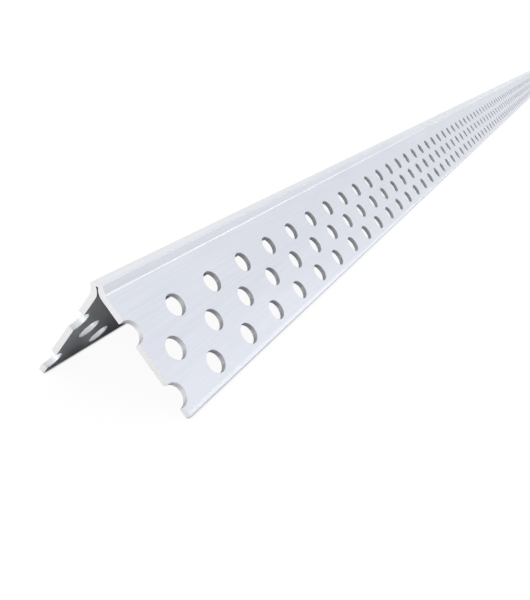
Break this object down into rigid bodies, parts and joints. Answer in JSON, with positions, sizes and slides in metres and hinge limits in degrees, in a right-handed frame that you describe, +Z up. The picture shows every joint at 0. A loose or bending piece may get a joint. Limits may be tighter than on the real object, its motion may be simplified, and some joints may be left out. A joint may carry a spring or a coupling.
{
  "type": "perforated corner angle",
  "caption": "Long perforated metal angle with a pinched, raised nosing along its corner and staggered rows of round holes in both legs.",
  "frame": {"origin": "middle of the length, between the free edges of the legs, on the floor that the edges stand on", "axes": "+X along the piece, +Z up through the nosing, Y across from leg to leg"},
  "size_m": [2.5, 0.027, 0.0169],
  "materials": {
    "metal": "satin, with fine lines along the length"
  },
  "bodies": {
    "root": {"perforated_angle": "metal"}
  },
  "joints": []
}
